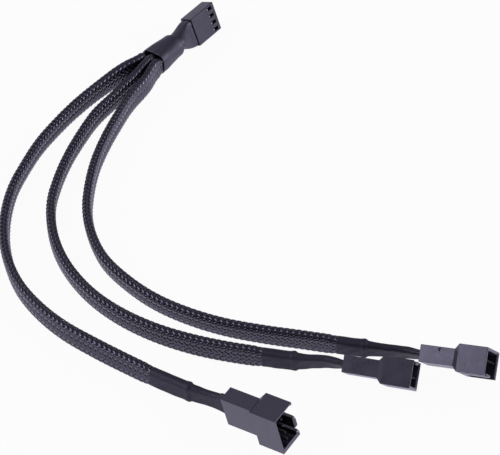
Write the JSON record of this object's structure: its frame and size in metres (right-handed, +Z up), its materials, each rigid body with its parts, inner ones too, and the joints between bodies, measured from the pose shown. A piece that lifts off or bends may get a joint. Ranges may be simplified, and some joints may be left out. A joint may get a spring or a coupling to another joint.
{
  "type": "fan splitter cable",
  "caption": "Splitter cable for case fans: a keyed socket plug, heat-shrunk hub and flat braided branches on edge, each ending in a shrouded pin connector.",
  "frame": {"origin": "on the table under the middle of the hub, which is the plug with its two shrink tubes", "axes": "+Z up, +Y along the hub out of the plug's mating face; the branches leave toward -Y and bend round toward +X"},
  "size_m": [0.1724, 0.149, 0.0161],
  "materials": {
    "nylon_plug": "black moulded nylon with a fine satin grain",
    "nylon_socket": "black moulded nylon with a fine satin grain",
    "contact_metal": "tin-plated stamped brass, bright",
    "shrink_tube": "black heat-shrunk polyolefin, satin",
    "braid": "black braided monofilament sleeving, semi-gloss strands"
  },
  "bodies": {
    "root": {"plug_housing": "nylon_plug", "plug_terminal_1": "contact_metal", "plug_terminal_2": "contact_metal", "plug_terminal_3": "contact_metal", "plug_terminal_4": "contact_metal", "hub_wire_shrink": "shrink_tube", "hub_sleeve_shrink": "shrink_tube", "left_sleeve": "braid", "left_end_shrink": "shrink_tube", "left_socket_housing": "nylon_socket", "left_socket_pin_1": "contact_metal", "left_socket_pin_2": "contact_metal", "left_socket_pin_3": "contact_metal", "left_socket_pin_4": "contact_metal", "middle_sleeve": "braid", "middle_end_shrink": "shrink_tube", "middle_socket_housing": "nylon_socket", "middle_socket_pin_1": "contact_metal", "middle_socket_pin_2": "contact_metal", "middle_socket_pin_3": "contact_metal", "middle_socket_pin_4": "contact_metal", "right_sleeve": "braid", "right_end_shrink": "shrink_tube", "right_socket_housing": "nylon_socket", "right_socket_pin_1": "contact_metal", "right_socket_pin_2": "contact_metal", "right_socket_pin_3": "contact_metal", "right_socket_pin_4": "contact_metal"}
  },
  "joints": []
}
